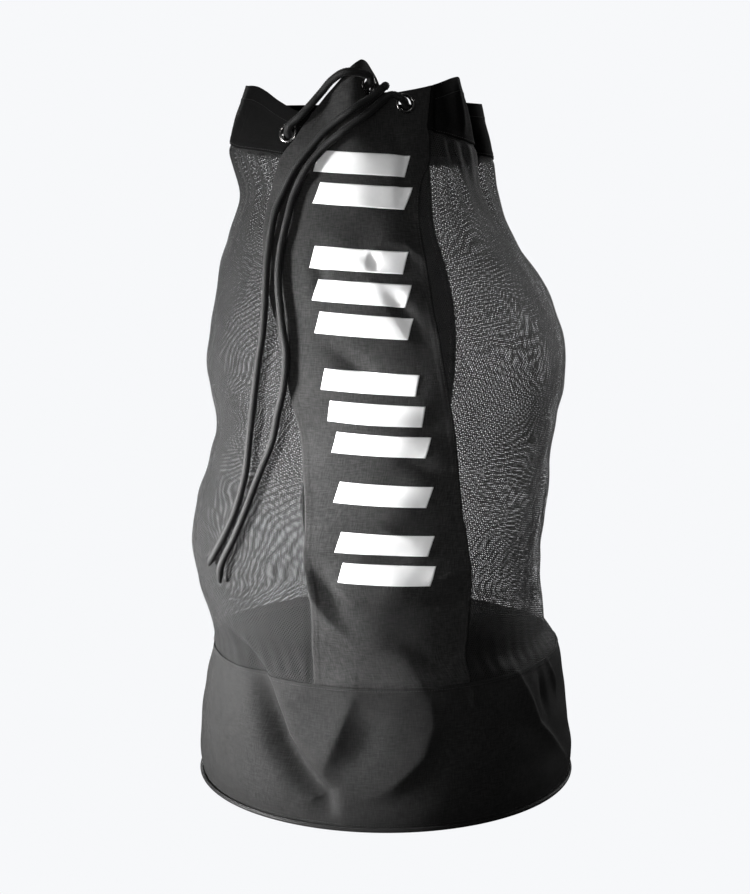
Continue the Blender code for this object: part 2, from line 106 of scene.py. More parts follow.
# Side edges of the front and back panels: height, left bearing, right bearing
FRONT_EDGES = (
    (0.19, -22.8, 27), (0.3, -18, 32.9), (0.36, -19.8, 31.6), (0.42, -21.5, 27.5), (0.48, -26, 24),
    (0.54, -29, 20.4), (0.6, -31, 17.3), (0.66, -35.1, 16.2), (0.71, -39.8, 16.5), (0.76, -43.5, 19),
    (0.82, -46, 21), (0.853, -41.5, 25), (0.87, -37.5, 29.2), (0.887, -33, 31.6), (0.904, -27.5, 32),
    (0.921, -24.2, 31), (0.939, -20.5, 32.5), (0.975, -20.5, 36),
)
BACK_EDGES = ((0.19, 156, 204), (0.7, 154, 206), (0.875, 147, 213))
# Eyelets in the order in which the cord meets them: name, bearing, height, heading of the cord in degrees
EYELETS = (
    ("front", 4, 0.974, 45), ("front_left", -31, 0.913, -45), ("left", -112.5, 0.934, 0),
    ("back_left", -135.5, 0.927, 0), ("back_mid_left", -160, 0.928, 0),
    ("back_mid_right", 171, 0.928, 0), ("back_right", 141.5, 0.928, 0), ("right", 113, 0.928, 0),
    ("front_right", 21.5, 0.951, 25),
)
ON_FRONT_PANEL = ("front", "front_right")
# The cord between eyelets, as bearing, height and distance off the fabric
SPANS = {
    "front": ((-3.6, 0.9885, 0.0115), (-8, 0.979, 0.012), (-14, 0.963, 0.0125),
              (-19.5, 0.947, 0.013), (-24, 0.932, 0.012)),
    "front_left": ((-48, 0.921, -0.012), (-65, 0.931, -0.012), (-82, 0.936, -0.012),
                   (-97, 0.936, -0.012)),
    "left": ((-124, 0.93, 0.0095),),
    "back_left": ((-147.8, 0.928, -0.012),),
    "back_mid_left": ((-174.5, 0.928, 0.0095),),
    "back_mid_right": ((156, 0.928, -0.012),),
    "back_right": ((127, 0.928, 0.0095),),
    "right": ((97, 0.929, -0.0125), (87, 0.93, -0.013), (77, 0.932, -0.012), (66, 0.936, -0.012),
              (54, 0.941, -0.012), (40, 0.946, -0.012)),
}
RIM_START = (
    (10.3, 0.97, 0.0098), (11.6, 0.9722, 0.0052), (11.9, 0.9724, -0.0015), (11.4, 0.969, -0.0085),
    (10.2, 0.963, -0.012),
)
RIM_END = ((15.5, 0.959, 0.0105),)
# The tails' routes down the front: x, height, and distance off the fabric where it isn't the usual one
TAIL_OFF, TAIL_OFF_LOW, TAIL_LOW = 0.0076, 0.008, 0.5  # the usual ones, and the height between them
LEFT_TAIL = (
    (-0.013, 0.9685, 0.0098), (-0.0245, 0.959, 0.0085), (-0.0455, 0.943), (-0.07, 0.9205),
    (-0.096, 0.894), (-0.1185, 0.8645), (-0.135, 0.829), (-0.145, 0.7985), (-0.1525, 0.7465),
    (-0.155, 0.694), (-0.158, 0.6545), (-0.1645, 0.6155), (-0.172, 0.562), (-0.1775, 0.516),
    (-0.1835, 0.464), (-0.1965, 0.4175), (-0.213, 0.381), (-0.2355, 0.3385),
)
RIGHT_TAIL = (
    (-0.0005, 0.959, 0.01), (-0.01, 0.9535, 0.0088), (-0.0295, 0.9388, 0.0083), (-0.053, 0.9168, 0.0081),
    (-0.079, 0.894), (-0.102, 0.867), (-0.117, 0.835), (-0.125, 0.8055), (-0.135, 0.76), (-0.1375, 0.72),
    (-0.1325, 0.669), (-0.1275, 0.631), (-0.131, 0.5905), (-0.1395, 0.553), (-0.1475, 0.513),
    (-0.1665, 0.4625), (-0.1825, 0.42), (-0.1985, 0.383), (-0.217, 0.3435), (-0.22, 0.317),
)

# ---- what only the looks have
CAMERA_PLACE = (-0.016, -2.5, 0.9162)
CAMERA_PITCH = 10.085  # degrees below level
CAMERA_LENS = 71.68
FABRIC = 0.0012  # thickness of the shown cloth
NET = 0.0006
TUCK = 0.0017  # how far under its neighbour a tucked edge lies
HEM_RISE = 0.0005  # a folded hem's extra thickness
HEM_WIDTH = 0.009
RIM_HEM = 0.021  # depth of the hem along the rim
FLAP = 0.009  # how wide a tucked edge is
NET_PITCH = 0.0033  # between holes of the net
NET_HOLE = 0.00113  # radius of a hole
NET_TURN = math.radians(15)  # of the net's rows against the bag's
THREAD_PITCH = 0.00075  # between threads of the woven cloth
STITCH_STEP = 0.0036
STITCH_LENGTH = 0.0026
STITCH_RADIUS = 0.00035
STITCH_INSET = 0.0035  # from a panel's edge
EYELET_CLEAR = 0.0112  # hole in the cloth round an eyelet
STRANDS = 6  # of the cord's braid, each way
BRAID_PITCH = 0.02  # length of one strand's turn round the cord
CORD_SIDES, CORD_STEP = 42, 0.0009  # of the cord's mesh
TIP_MELT, TIP_POINT = (0.004, 0.016), (-0.002, 0.017)  # from a tip, where it melts and narrows
PRINT_RISE = 0.0007
FLAP_ANGLE = math.degrees(FLAP / MEAN_RADIUS)
FOOT_CALM = 0.045  # the piping keeps the cloth round below this
EYELET_CALM = 0.022  # the cloth lies flat this near an eyelet
FOLD_END = 0.25  # share of its depth that a fold has at its ends
TUCK_BLEND = (0.003, 0.01)  # heights over a seam between which a tucked edge comes up
COLLAR_LAP = 0.004  # down over what the collar is sewn to
RIM_STITCH = RIM_HEM - 0.003
# Stitches from bearing to bearing on the collar and the rim; the base wall's rows by height
COLLAR_STITCHES = ((-180, -33), (33, 180))
RIM_STITCHES = ((-180, -24), (-19, 34), (38, 180))
BASE_STITCHES = (WALL_SEAM - 0.0015, 0.0095)
# Rows and columns of the pieces' grids
FRONT_GRID, FRONT_TOP_GRID, BACK_GRID = (280, 130), (44, 130), (220, 90)
NET_GRID, COLLAR_GRID, BAR_GRID = (200, 210), (48, 260), (16, 60)
# The net's gathers at the collar and the base wall: swing, waves, slant, phase, reach from the seam
GATHERS = ((0.003, 46, 9, 0, 0.05), (0.0012, 71, 0, 1, 0.03))
# Folds: a line (bearing, height, bearing, height ...), depth (inwards is negative), width of the flank at
# the line's right and at its left, and how round the fold is if it isn't 2 (1 is sharp)
FOLDS = (
    ((-50, 0.226, -40.8, 0.172, -32.9, 0.112, -25.4, 0.077, -17.9, 0.05, -16, 0), -0.027, 0.023, 0.012),
    ((-10.1, 0.182, -14.9, 0.12, -19.7, 0.061), 0.007, 0.02, 0.012, 1.6),
    ((-2, 0.16, -6, 0.115, -13, 0.066), -0.005, 0.018, 0.022),
    ((12.5, 0.176, 14.1, 0.14, 11, 0.102, 0.7, 0.061, -6.4, 0.044), 0.0062, 0.026, 0.012, 1.6),
    ((27.2, 0.187, 26.9, 0.16), 0.0035, 0.004, 0.006, 1.5),
    ((45.7, 0.197, 53.1, 0.115, 70.6, 0.035), 0.0065, 0.013, 0.005, 1.3),
    ((64.2, 0.192, 68.3, 0.135), 0.0045, 0.006, 0.005, 1.5), ((57, 0.187, 59, 0.12), -0.005, 0.01, 0.009),
    ((-76, 0.19, -70, 0.1, -61, 0.02), 0.004, 0.006, 0.008, 1.3),
    ((-86, 0.194, -78, 0.03), -0.0075, 0.014, 0.012), ((98, 0.19, 112, 0.04), -0.0065, 0.018, 0.014),
    ((124, 0.19, 130, 0.06), 0.004, 0.014, 0.018, 1.8), ((160, 0.19, 146, 0.05), -0.006, 0.02, 0.02),
    ((182, 0.19, 174, 0.08), 0.0045, 0.02, 0.014, 1.8), ((-158, 0.19, -166, 0.04), -0.006, 0.016, 0.02),
    ((-134, 0.19, -126, 0.07), 0.0045, 0.014, 0.02, 1.8), ((-108, 0.19, -102, 0.05), -0.0055, 0.018, 0.014),
    ((-20, 0.4086, -8.5, 0.411, 2.1, 0.409, 13.1, 0.3906), 0.0034, 0.006, 0.011, 1.5),
    ((-17, 0.36, -12, 0.325, -8, 0.29), -0.0065, 0.013, 0.015),
    ((-21, 0.348, -15.4, 0.293, -6.8, 0.253), 0.0045, 0.012, 0.009, 1.6),
    ((-7, 0.305, 4, 0.298, 16, 0.293, 31, 0.3), -0.0065, 0.02, 0.012),
    ((18, 0.337, 32.5, 0.3435), 0.003, 0.007, 0.009, 1.5),
    ((8, 0.25, 18, 0.225, 28, 0.232), -0.0035, 0.014, 0.014),
    ((-3, 0.763, 5, 0.775, 12.6, 0.771, 20.5, 0.742), 0.0042, 0.007, 0.013, 1.5),
    ((-2.5, 0.755, 2, 0.7465), -0.0055, 0.01, 0.01), ((-20.5, 0.77, -19, 0.705), -0.0045, 0.012, 0.013),
    ((-18.6, 0.648, -10, 0.622, -2.9, 0.6035), -0.006, 0.013, 0.014),
    ((2.2, 0.7155, 7, 0.683, 11.9, 0.6487), -0.0055, 0.012, 0.012),
    ((-19, 0.56, -6, 0.545, 10, 0.552), 0.003, 0.012, 0.018), ((4, 0.5, 22, 0.47), -0.0035, 0.012, 0.014),
    ((-14, 0.915, -20, 0.865), -0.0035, 0.01, 0.012),
    ((14, 0.925, 20, 0.88, 14, 0.83), -0.004, 0.012, 0.01),
    ((39, 0.972, 36, 0.915, 30, 0.88), -0.0045, 0.006, 0.01, 1.6),
    ((56, 0.985, 52, 0.91), 0.004, 0.008, 0.01, 1.6), ((-60, 0.96, -66, 0.9), -0.003, 0.012, 0.014),
    ((165, 0.76, 186, 0.72), -0.005, 0.014, 0.014),
    ((158, 0.56, 176, 0.54, 200, 0.565), 0.0045, 0.01, 0.014, 1.6),
    ((202, 0.4, 182, 0.37, 160, 0.39), -0.0055, 0.014, 0.014),
    ((165, 0.26, 180, 0.235, 196, 0.255), 0.004, 0.012, 0.012, 1.6),
)
# Slow waves of slack cloth: turns round the bag, waves per metre upwards, phase, swing
RIPPLES = (
    (5, 9, 0.4, 0.0007), (-8, 14, 2.1, 0.0005), (13, 21, 4, 0.0004), (-3, 31, 1.2, 0.0005),
    (21, -17, 3.3, 0.0003), (11, 43, 5.1, 0.0002),
)
# The print's plain slanted bars, by the heights of their middles
PRINT_BARS = (0.874, 0.833, 0.752, 0.711, 0.67, 0.598, 0.557, 0.516, 0.451, 0.386, 0.345)
PRINT_THICK = 0.028
PRINT_WIDTH = 0.122
PRINT_SLANT = -0.06  # of a bar's long sides
PRINT_LEAN = 0.35  # of a bar's short sides
INK = 0.0002
# Middle of the print, as height and bearing
PRINT_MIDDLE = ((0.3, 6.5), (0.36, 5.5), (0.62, -6), (0.77, -5.2), (0.88, 1))


# ---- the surface, for arrays of bearings and heights
def smooth(low, high, value):
    """0 below low, 1 above high, and a smooth step between."""
    share = np.clip((value - low) / (high - low), 0, 1)
    return share * share * (3 - 2 * share)


def turn(degrees):
    """The same bearing between -180 and 180 degrees."""
    return (degrees + 180) % 360 - 180


def angles(count):
    return np.linspace(0, 2 * math.pi, count, endpoint=False)


def arc_of(degrees):
    """Length round the bag of an angle, at its mean radius."""
    return np.radians(degrees) * MEAN_RADIUS


def along(points, at, column=1):
    """Smooth curve through rows of points, read by their first column."""
    table = np.array(points, float)
    x, y = table[:, 0], table[:, column]
    before = np.maximum(np.arange(len(x)) - 1, 0)
    after = np.minimum(np.arange(len(x)) + 1, len(x) - 1)
    slope = (y[after] - y[before]) / (x[after] - x[before])
    at = np.clip(at, x[0], x[-1])
    i = np.clip(np.searchsorted(x, at) - 1, 0, len(x) - 2)
    step = x[i + 1] - x[i]
    s = (at - x[i]) / step
    return (
        (2 * s**3 - 3 * s**2 + 1) * y[i]
        + (3 * s**2 - 2 * s**3) * y[i + 1]
        + (s**3 - 2 * s**2 + s) * step * slope[i]
        + (s**3 - s**2) * step * slope[i + 1]
    )


def spot(bearing, height, centre, level, radius):
    """1 at a place on the bag, falling off smoothly all round it."""
    arc = arc_of(turn(bearing - centre))
    return np.exp(-(arc**2 + (height - level) ** 2) / radius**2)


def hump(bearing, centre, width):
    """1 at the centre bearing, falling off smoothly to both sides."""
    return np.exp(-((turn(bearing - centre) / width) ** 2))


def folds(bearing, height):
    """How the gathered neck departs from an ellipse."""
    pleats = sum(depth * hump(bearing, centre, width) for centre, width, depth in PLEATS)
    count, phase, share = WAVES
    waves = share * np.cos(np.radians(count * bearing + phase)) * (1 - hump(bearing, 0, CALM_FRONT))
    return 1 + smooth(*NECK, height) * (pleats + waves)


def pushed_out(bearing, height):
    """Bulges of the load, and the beak at the front panel's top."""
    live = smooth(WALL_SEAM, LOADED[0], height) * (1 - smooth(LOADED[1], LOAD_TOP, height))
    total = 0
    for centre, level, push, radius in BULGES:
        total = total + push * live * spot(bearing, height, centre, level, radius)
    centre, width, push, low, high = BEAK
    return total + push * smooth(low, high, height) * hump(bearing, centre, width)


def skin(bearing, height):
    """Points on the bag's outer surface."""
    bearing, height = np.broadcast_arrays(np.asarray(bearing, float), np.asarray(height, float))
    left, right, half = (along(STATIONS, height, column) for column in (1, 2, 3))
    s, c = np.sin(np.radians(bearing)), np.cos(np.radians(bearing))
    shape, push = folds(bearing, height), pushed_out(bearing, height)
    x = (left + right) / 2 + (right - left) / 2 * shape * s + push * s
    return np.stack([x, -half * shape * c - push * c, height], -1)


def unit(vectors):
    return vectors / np.linalg.norm(vectors, axis=-1, keepdims=True)


def frame_at(bearing, height, aside=1.5, above=0.004):
    """The surface's tangent towards +bearing, its tangent upwards and its outward normal."""
    east = unit(skin(bearing + aside, height) - skin(bearing - aside, height))
    rise = skin(bearing, height + above) - skin(bearing, height - above)
    normal = unit(np.cross(east, rise))
    return east, unit(np.cross(normal, east)), normal


def off_skin(bearing, height, out):
    """Points at a true distance off the surface."""
    return skin(bearing, height) + frame_at(bearing, height)[2] * np.asarray(out)[..., None]


def bearing_of(x, height, low=-89, high=70, halvings=40):
    """Bearing at which the front half has this x, found by halving."""
    for _ in range(halvings):
        middle = (low + high) / 2
        if skin(middle, height)[0] < x:
            low = middle
        else:
            high = middle
    return (low + high) / 2


def rim(bearing):
    return along(RIM, turn(bearing))


def collar_edge(bearing):
    return along(COLLAR_EDGE, turn(bearing))


def level(height):
    """An edge at one height all round."""
    return lambda bearing: height


def edge(table, column):
    """A panel's side edge: bearing as a function of height."""
    return lambda height: along(table, height, column)


def moved(line, by):
    """The same edge, moved by a height or by some degrees."""
    return lambda at: line(at) + by


def settle(grid, left_edge, right_edge, bottom, top):
    """Bearings and heights of a panel's grid between side edges read by height and ends by bearing."""
    v, u = np.linspace(0, 1, grid[0])[:, None], np.linspace(0, 1, grid[1])[None]
    height = bottom(0) + v * (top(0) - bottom(0)) + 0 * u
    for _ in range(SETTLE_ROUNDS):
        left, right = left_edge(height), right_edge(height)
        bearing = left + u * (right - left)
        height = (height + bottom(bearing) + v * (top(bearing) - bottom(bearing))) / 2
    return bearing, height


def clear_of_eyelets(bearing, height):
    """1 far from every eyelet and 0 at one, so that the metal sits on flat cloth."""
    calm = 1
    for _, at, height_at, _ in EYELETS:
        calm = calm * (1 - spot(bearing, height, at, height_at, EYELET_CALM))
    return calm


def fold_relief(bearing, height, line, depth, right_flank, left_flank, roundness=2):
    """How far one fold stands off, by the distance to its line."""
    best = np.full(bearing.shape, np.inf)
    hand, share, run = np.ones(bearing.shape), np.zeros(bearing.shape), 0
    line = np.reshape(line, (-1, 2))
    for (b0, h0), (b1, h1) in zip(line, line[1:]):
        x, y = arc_of(turn(bearing - b0)), height - h0
        dx, dy = arc_of(b1 - b0), h1 - h0
        length = math.hypot(dx, dy)
        t = np.clip((x * dx + y * dy) / length**2, 0, 1)
        away = np.hypot(x - t * dx, y - t * dy)
        nearer = away < best
        best = np.where(nearer, away, best)
        hand = np.where(nearer, dx * y - dy * x, hand)
        share = np.where(nearer, run + t * length, share)
        run += length
    width = np.where(hand > 0, left_flank, right_flank)
    here = depth * (FOLD_END + (1 - FOLD_END) * np.sin(math.pi * share / run))
    return here * np.exp(-((best / width) ** roundness))


def relief(bearing, height):
    """How far the cloth stands off the plain surface."""
    total = sum(fold_relief(bearing, height, *fold) for fold in FOLDS)
    for turns, waves, phase, swing in RIPPLES:
        total = total + swing * np.sin(np.radians(turns * bearing) + waves * math.pi * height + phase)
    return total * clear_of_eyelets(bearing, height) * smooth(0.002, FOOT_CALM, height)


def cloth(bearing, height, out=0):
    """Points on the bag with its folds, moved off the surface by out."""
    bearing, height = np.broadcast_arrays(bearing, height)
    normal = frame_at(bearing, height)[2]
    return skin(bearing, height) + normal * (relief(bearing, height) + out)[..., None]


# ---- materials
class Graph:
    """The nodes of a material or of the world, with short ways to add and join them."""

    def __init__(self, name, owners=bpy.data.materials, shader="Principled BSDF"):
        self.owner = owners.new(name)
        self.owner.use_nodes = True
        self.tree = self.owner.node_tree
        self.shader = self.tree.nodes[shader]

    def node(self, kind, *values, **settings):
        made = self.tree.nodes.new("ShaderNode" + kind)
        for key, value in settings.items():
            setattr(made, key, value)
        for socket, value in zip(made.inputs, values):
            self.put(socket, value)
        return made

    def put(self, socket, value):
        if isinstance(value, bpy.types.Node):
            value = value.outputs[0]
        if isinstance(value, bpy.types.NodeSocket):
            self.tree.links.new(value, socket)
        elif value is not None:
            socket.default_value = value

    def math(self, operation, a, b=None, c=None):
        return self.node("Math", a, b, c, operation=operation)

    def add(self, a, b):
        return self.math("ADD", a, b)

    def less(self, a, b):
        return self.math("SUBTRACT", a, b)

    def product(self, first, *others):
        for other in others:
            first = self.math("MULTIPLY", first, other)
        return first

    def set(self, **values):
        for name, value in values.items():
            self.put(self.shader.inputs[name.replace("_", " ")], value)

    def noise(self, vector, scale, detail=2):
        return self.node("TexNoise", vector, None, scale, detail)

    def mix(self, share, a, b):
        return self.node("Mix", share, *[None] * 5, a, b, data_type="RGBA").outputs[2]

    def bump(self, height, strength, distance, below=None):
        made = self.node("Bump", strength, distance)
        self.put(made.inputs["Height"], height)
        self.put(made.inputs["Normal"], below)
        return made

    def place(self):
        return self.node("TexCoord").outputs["Object"]

    def cloth_axes(self):
        """The cloth's own coordinates in metres, round the bag and up it."""
        split = self.node("SeparateXYZ", self.node("UVMap", uv_map="cloth").outputs["UV"])
        return split.outputs[0], split.outputs[1]

    def streaks(self, u, v, few, many):
        """Noise drawn out along both axes of the cloth."""
        one = self.node("CombineXYZ", self.product(u, few), self.product(v, many))
        other = self.node("CombineXYZ", self.product(u, many), self.product(v, few))
        return self.add(self.noise(one, 1), self.noise(other, 1))

    def grade(self, value, low, high, from_low=0, from_high=1):
        return self.node("MapRange", value, from_low, from_high, low, high)

    def shades(self, noise, dark, light, low=0.3, high=0.7):
        """A colour between two that follows a noise."""
        return self.mix(self.grade(noise, 0, 1, low, high), dark, light)


def grey(brightness, warmth=0):
    return (brightness * (1 + warmth), brightness, brightness * (1 - warmth), 1)


def woven(name, brightness, sheen, roughness=0.7, specular=0.16):
    """Plain-weave coated polyester: threads, uneven yarn, slubs and a soft sheen."""
    g = Graph(name)
    u, v = g.cloth_axes()
    across, upwards = g.math("DIVIDE", u, THREAD_PITCH), g.math("DIVIDE", v, THREAD_PITCH)
    weft, warp = (g.math("ABSOLUTE", g.math("SINE", g.product(way, math.pi))) for way in (across, upwards))
    over = g.math("FLOORED_MODULO", g.add(g.math("FLOOR", across), g.math("FLOOR", upwards)), 2)
    weave = g.add(g.product(over, weft), g.product(g.less(1, over), warp))
    yarn, slub = g.streaks(u, v, 60, 1400), g.streaks(u, v, 90, 620)
    place = g.place()
    wear = g.noise(place, 7, 4)
    tone = g.product(
        g.grade(yarn, 0.55, 1.45, 0.75, 1.25), g.grade(slub, 0.5, 1.5, 0.72, 1.28),
        g.grade(wear, 0.85, 1.2, 0.3, 0.7), g.grade(weave, 0.7, 1.15),
    )
    colour = g.mix(g.grade(tone, 0, 1, 0.2, 2), grey(brightness * 0.3), grey(brightness * 2.2, 0.01))
    g.set(Base_Color=colour, Roughness=g.grade(wear, roughness - 0.05, roughness + 0.08, 0.3, 0.7))
    g.set(Specular_IOR_Level=specular, Sheen_Weight=sheen, Sheen_Roughness=0.45)
    slack = g.noise(place, 34, 3)
    g.set(Normal=g.bump(weave, 0.55, 0.00025, g.bump(slub, 0.35, 0.0006, g.bump(slack, 0.2, 0.002))))
    return g.owner


def netting(name, brightness):
    """Knitted net: round holes in staggered, slightly uneven rows, with rounded yarn."""
    g = Graph(name)
    round_bag, upwards = g.cloth_axes()
    place = g.place()
    drift = g.grade(g.noise(place, 40, 2), -0.003, 0.003)
    c, s = math.cos(NET_TURN), math.sin(NET_TURN)
    u = g.add(g.add(g.product(round_bag, c), g.product(upwards, -s)), drift)
    v = g.less(g.add(g.product(round_bag, s), g.product(upwards, c)), drift)
    row = NET_PITCH * math.sqrt(3)

    def squared(way, step, shift):
        away = g.product(g.less(g.math("FRACT", g.add(g.math("DIVIDE", way, step), shift)), 0.5), step)
        return g.product(away, away)

    def from_hole(shift):
        return g.math("SQRT", g.add(squared(u, NET_PITCH, shift), squared(v, row, shift)))

    away = g.math("MINIMUM", from_hole(0), from_hole(0.5))
    solid = g.grade(away, 0, 1, NET_HOLE - 0.00012, NET_HOLE + 0.00012)
    uneven = g.noise(place, 9, 3)
    colour = g.shades(uneven, grey(brightness * 0.7), grey(brightness * 1.4), 0.35, 0.65)
    g.set(Base_Color=colour, Alpha=solid, Roughness=0.6, Specular_IOR_Level=0.3)
    g.set(Sheen_Weight=0.1, Sheen_Roughness=0.4)
    twist = g.math("SINE", g.product(g.add(u, v), 2 * math.pi / 0.0007))
    yarn = g.add(g.grade(away, 0, 1, NET_HOLE, NET_PITCH * 0.55), g.product(twist, 0.12))
    g.set(Normal=g.bump(yarn, 0.7, 0.0006))
    return g.owner


def printed(name):
    """Flat white ink that lets the weave show through."""
    g = Graph(name)
    u, v = g.cloth_axes()
    per_metre = 2 * math.pi / THREAD_PITCH
    threads = g.add(g.math("SINE", g.product(u, per_metre)), g.math("SINE", g.product(v, per_metre)))
    patchy = g.noise(g.place(), 60, 5)
    colour = g.shades(patchy, grey(0.86), grey(0.92), 0.35)
    g.set(Base_Color=colour, Roughness=0.6, Specular_IOR_Level=0.2, Normal=g.bump(threads, 0.2, 0.0001))
    return g.owner


def braided(name, brightness):
    """The cord's yarn: fine filaments, and painted shade in the grooves between the strands."""
    g = Graph(name)
    place = g.place()
    fuzz = g.noise(place, 900, 3)
    tone = g.grade(g.noise(place, 40, 3), 0.8, 1.2, 0.3, 0.7)
    around, onwards = g.cloth_axes()
    one, other = (g.math("PINGPONG", way, 0.5) for way in (g.add(around, onwards), g.less(around, onwards)))
    # painted shade: the colour darkens in the grooves between the strands and is lighter on their crowns
    painted_groove_shade = g.grade(g.math("MAXIMUM", one, other), 1, 0, 0.15, 0.5)
    colour = g.mix(g.product(painted_groove_shade, tone), grey(brightness * 0.2), grey(brightness * 2.6))
    g.set(Base_Color=colour, Roughness=g.grade(tone, 0.5, 0.65), Specular_IOR_Level=0.3)
    g.set(Sheen_Weight=0.1, Sheen_Roughness=0.4, Normal=g.bump(fuzz, 0.35, 0.0003))
    return g.owner


def plated(name, brightness):
    """Bright nickel with fine scuffs."""
    g = Graph(name)
    place = g.place()
    scuff = g.noise(g.node("Mapping", place, None, None, (900, 900, 120)), 1, 4)
    dull = g.noise(place, 160, 3)
    colour = g.shades(dull, grey(brightness, 0.015), grey(brightness * 0.72, 0.03), 0.35)
    g.set(Base_Color=colour, Metallic=1, Roughness=g.grade(scuff, 0.14, 0.34, 0.3, 0.75))
    g.set(Normal=g.bump(scuff, 0.12, 0.0001))
    return g.owner


def threaded(name, brightness):
    """Bonded sewing thread, with its twist as a fine bump."""
    g = Graph(name)
    twist = g.noise(g.place(), 2400, 2)
    colour = g.shades(twist, grey(brightness * 0.6), grey(brightness * 1.5))
    g.set(Base_Color=colour, Roughness=0.5, Specular_IOR_Level=0.4, Normal=g.bump(twist, 0.4, 0.0002))
    return g.owner


# ---- making pieces
def linked(name, data):
    """A new object in the scene."""
    made = bpy.data.objects.new(name, data)
    bpy.context.scene.collection.objects.link(made)
    return made


def add_object(name, points, faces, material, corner_uv=None):
    """A smooth mesh object. corner_uv has the cloth's coordinates for every face's corners in turn."""
    mesh = bpy.data.meshes.new(name)
    mesh.from_pydata(points.reshape(-1, 3).tolist(), [], [list(face) for face in faces])
    if corner_uv is not None:
        layer = mesh.uv_layers.new(name="cloth")
        layer.data.foreach_set("uv", corner_uv.astype(np.float32).ravel())
    mesh.shade_smooth()
    mesh.materials.append(material)
    made = linked(name, mesh)
    return made


def thicken(sheet, thickness):
    solid = sheet.modifiers.new("cloth", "SOLIDIFY")
    solid.thickness = thickness
    solid.offset = -1


def grid_faces(rows, columns, ring=False):
    """Corner numbers of a grid's faces, and the corners' rows and columns. A ring is closed."""
    row, column = np.mgrid[:rows - 1, :columns if ring else columns - 1].reshape(2, -1, 1)
    row, column = row + [0, 0, 1, 1], column + [0, 1, 1, 0]
    return row * columns + column % columns, row, column


def pierced(points, eyelets):
    """Rounds the grid out to each eyelet's hole. Gives the points, and which lie inside a hole."""
    points, inside = points.copy(), np.zeros(points.shape[:2], bool)
    for _, bearing, height, _ in eyelets:
        east, up, normal = frame_at(bearing, height)
        away = points - skin(bearing, height)
        x, y, z = away @ east, away @ up, away @ normal
        reach = np.hypot(x, y)
        hit = (reach < EYELET_CLEAR) & (np.abs(z) < 0.01)
        grow = (EYELET_CLEAR / np.maximum(reach, 1e-6) - 1)[..., None]
        points = np.where(hit[..., None], points + grow * (x[..., None] * east + y[..., None] * up), points)
        inside |= hit
    return points, inside


def drop_loose(piece):
    """Drops points that no face uses."""
    form = bmesh.new()
    form.from_mesh(piece.data)
    loose = [point for point in form.verts if not point.link_faces]
    bmesh.ops.delete(form, geom=loose, context="VERTS")
    form.to_mesh(piece.data)
    form.free()


def fabric_piece(name, bearing, height, out, material, thickness=FABRIC, ring=False,
                 eyelets=()):
    """A cloth wall from grids of bearings and heights, thickened inwards."""
    points, inside = pierced(cloth(bearing, height, out), eyelets)
    rows, columns = bearing.shape
    faces, row, column = grid_faces(rows, columns, ring)
    round_bag = arc_of(bearing)
    if ring:
        round_bag = np.concatenate([round_bag, round_bag[:, :1] + 2 * math.pi * MEAN_RADIUS], 1)
    uv = np.stack([round_bag[row, column], height[row, column % columns]], -1)
    kept = ~inside.reshape(-1)[faces].all(1)
    made = add_object(name, points, faces[kept].tolist(), material, uv[kept])
    drop_loose(made)
    thicken(made, thickness)
    return made


def hem(from_edge, width=HEM_WIDTH):
    """Rise of a folded edge."""
    return HEM_RISE * (1 - smooth(width - 0.001, width + 0.0015, from_edge))


def arc_from_sides(bearing, height, left, right):
    """Length round the bag from the nearer side edge."""
    return arc_of(np.minimum(bearing - left(height), right(height) - bearing))


def bend_with_slide(piece):
    """Bakes the piece's placement into its mesh."""
    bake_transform(piece)


def build_front_panel(material):
    left, right = edge(FRONT_EDGES, 1), edge(FRONT_EDGES, 2)
    body = settle(FRONT_GRID, left, right, level(WALL_SEAM - FLAP), collar_edge)
    above = settle(FRONT_TOP_GRID, left, right, collar_edge, rim)
    bearing, height = (np.concatenate([low, high[1:]]) for low, high in zip(body, above))
    out = hem(arc_from_sides(bearing, height, left, right)) + hem(rim(bearing) - height, RIM_HEM)
    out = out - (TUCK + HEM_RISE) * (1 - smooth(*TUCK_BLEND, height - WALL_SEAM))
    own = [eyelet for eyelet in EYELETS if eyelet[0] in ON_FRONT_PANEL]
    made = fabric_piece("front_panel_cloth", bearing, height, out, material, eyelets=own)
    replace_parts(made, "front_panel")
    bend_with_slide(made)


def build_back_panel(material):
    left, right = edge(BACK_EDGES, 1), edge(BACK_EDGES, 2)
    bearing, height = settle(BACK_GRID, left, right, level(WALL_SEAM - FLAP), moved(collar_edge, FLAP))
    tucked = 1 - smooth(*TUCK_BLEND, height - WALL_SEAM)
    tucked = tucked + smooth(-0.014, -0.005, height - collar_edge(bearing))
    out = hem(arc_from_sides(bearing, height, left, right)) - (TUCK + HEM_RISE) * tucked
    made = fabric_piece("back_panel_cloth", bearing, height, out, material)
    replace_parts(made, "back_panel")
    bend_with_slide(made)


def build_net(side, material):
    """One net wall: its edges lie under all that it is sewn to."""
    if side == "left":
        low, high = moved(edge(BACK_EDGES, 2), -360), edge(FRONT_EDGES, 1)
    else:
        low, high = edge(FRONT_EDGES, 2), edge(BACK_EDGES, 1)
    ends = level(WALL_SEAM - FLAP), moved(collar_edge, FLAP)
    bearing, height = settle(NET_GRID, moved(low, -FLAP_ANGLE), moved(high, FLAP_ANGLE), *ends)
    below_collar, above_wall = collar_edge(bearing) - height, height - WALL_SEAM
    from_edge = np.minimum(arc_from_sides(bearing, height, low, high), np.minimum(above_wall, below_collar))
    gather = 0
    for from_seam, (swing, waves, slant, phase, reach) in zip((below_collar, above_wall), GATHERS):
        wave = np.sin(np.radians(bearing) * waves + slant * height + phase)
        gather = gather + swing * wave * np.exp(-np.abs(from_seam) / reach)
    out = (gather - 0.0004) * smooth(0, 0.02, from_edge) - TUCK * (1 - smooth(0.003, 0.012, from_edge))
    made = fabric_piece("net_" + side, bearing, height, out, material, thickness=NET)
    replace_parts(made, "mesh_" + side)
    bend_with_slide(made)


